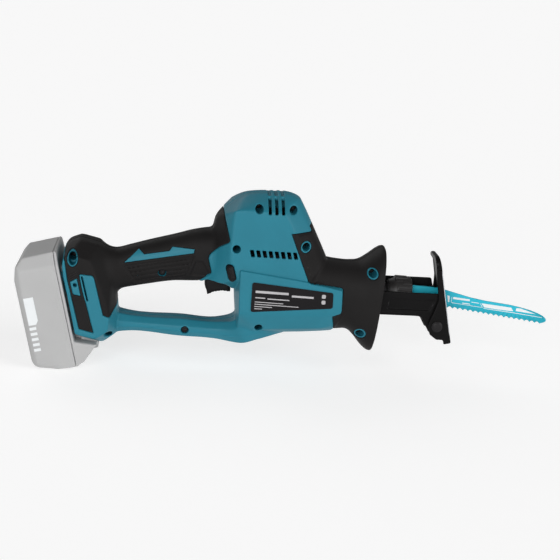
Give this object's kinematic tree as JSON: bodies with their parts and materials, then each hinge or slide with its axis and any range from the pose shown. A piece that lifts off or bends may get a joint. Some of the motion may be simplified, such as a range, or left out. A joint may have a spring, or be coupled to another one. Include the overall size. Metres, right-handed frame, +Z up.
{
  "type": "reciprocating saw",
  "caption": "Cordless one-handed reciprocating saw with a slide-on battery, loop handle, tilting shoe and a wood-cutting blade.",
  "frame": {"origin": "middle of the box round the whole saw, blade and battery on", "axes": "+X forward along the blade's stroke, +Y to the saw's left side as the user holds it, +Z up"},
  "size_m": [0.4951, 0.0786, 0.1667],
  "materials": {
    "housing_plastic": "satin moulded",
    "soft_grip": "matt moulded",
    "black_plastic": "satin moulded",
    "black_steel": "satin black coating",
    "steel": "ground",
    "dark_steel": "dark oxide",
    "aluminium": "die cast",
    "bronze": "sintered bronze",
    "copper": "enamelled wire",
    "blade_coating": "satin coating",
    "battery_plastic": "satin moulded",
    "board": "satin",
    "clear_plastic": "polished",
    "red_insulation": "smooth",
    "black_insulation": "smooth"
  },
  "bodies": {
    "saw_body": {"housing_right": "housing_plastic", "housing_left": "housing_plastic", "grip_cover_right": "soft_grip", "grip_cover_left": "soft_grip", "nose_cover_right": "soft_grip", "nose_cover_left": "soft_grip", "nameplate_right": "black_plastic", "nameplate_left": "black_plastic", "switch_body": "black_plastic", "trigger_spring": "steel", "lead_red": "red_insulation", "lead_black": "black_insulation", "controller_module": "aluminium", "stator": "copper", "motor_cap": "black_plastic", "motor_bearing_top": "steel", "motor_bearing_low": "steel", "gear_housing": "aluminium", "crank_bearing": "steel", "slider_bush_rear": "bronze", "slider_bush_front": "bronze", "shoe_holder": "black_steel", "shoe_pin": "black_steel", "lamp_lens": "clear_plastic", "lamp_board": "board", "terminal_block": "black_plastic", "screw_rear_top": "dark_steel", "screw_grip": "dark_steel", "screw_body_rear": "dark_steel", "screw_top_rear": "dark_steel", "screw_top_front": "dark_steel", "screw_front_slope": "dark_steel", "screw_flange_top": "dark_steel", "screw_flange_bottom": "dark_steel", "screw_lower_bar": "dark_steel", "screw_lower_body": "dark_steel", "screw_rear_foot": "dark_steel"},
    "crank": {"crank_gear": "steel", "crank_pin": "steel"},
    "motor_rotor": {"rotor": "dark_steel", "pinion": "steel", "cooling_fan": "black_plastic"},
    "plunger": {"slider": "steel", "blade_holder": "dark_steel", "blade": "blade_coating"},
    "clamp_lever": {"clamp_sleeve": "black_plastic"},
    "shoe": {"shoe": "black_steel"},
    "trigger": {"trigger": "black_plastic"},
    "lock_button": {"lock_off_button": "black_plastic"},
    "battery": {"battery_case": "battery_plastic", "battery_cover": "battery_plastic", "cell_pack": "aluminium"},
    "battery_latch": {"battery_button": "battery_plastic"}
  },
  "joints": [
    {"name": "crank_turn", "type": "hinge", "parent": "saw_body", "child": "crank", "pos_m": [0.0081, 0, 0.0055], "axis": [0, 0, 1], "range_deg": [0, 180]},
    {"name": "rotor_spin", "type": "hinge", "parent": "saw_body", "child": "motor_rotor", "pos_m": [-0.0171, 0, 0.0055], "axis": [0, 0, 1], "range_deg": [-1080, 0]},
    {"name": "plunger_stroke", "type": "slide", "parent": "saw_body", "child": "plunger", "axis": [1, 0, 0], "range_m": [0, 0.02]},
    {"name": "clamp_turn", "type": "hinge", "parent": "plunger", "child": "clamp_lever", "pos_m": [0.1029, 0, -0.0045], "axis": [1, 0, 0], "range_deg": [0, 55], "stiffness_Nm_per_rad": 0.05, "springref_deg": -17.19},
    {"name": "shoe_tilt", "type": "hinge", "parent": "saw_body", "child": "shoe", "pos_m": [0.1398, 0, -0.0336], "axis": [0, 1, 0], "range_deg": [-5, 30]},
    {"name": "trigger_pull", "type": "slide", "parent": "saw_body", "child": "trigger", "axis": [0, 0, 1], "range_m": [0, 0.006], "stiffness_N_per_m": 400, "springref_m": -0.002, "deforming": ["trigger_spring"]},
    {"name": "lock_button_slide", "type": "slide", "parent": "saw_body", "child": "lock_button", "axis": [0, 1, 0], "range_m": [-0.003, 0.003]},
    {"name": "battery_slide", "type": "slide", "parent": "saw_body", "child": "battery", "axis": [0.2198, 0, -0.9755], "range_m": [0, 0.075]},
    {"name": "battery_button_press", "type": "slide", "parent": "battery", "child": "battery_latch", "axis": [-0.2198, 0, 0.9755], "range_m": [0, 0.003], "stiffness_N_per_m": 300, "springref_m": -0.002}
  ],
  "couplings": [
    {"joint": "rotor_spin", "follows": "crank_turn", "ratio": -6},
    {"joint": "plunger_stroke", "follows": "crank_turn", "m_per_rad": 0.006366}
  ]
}
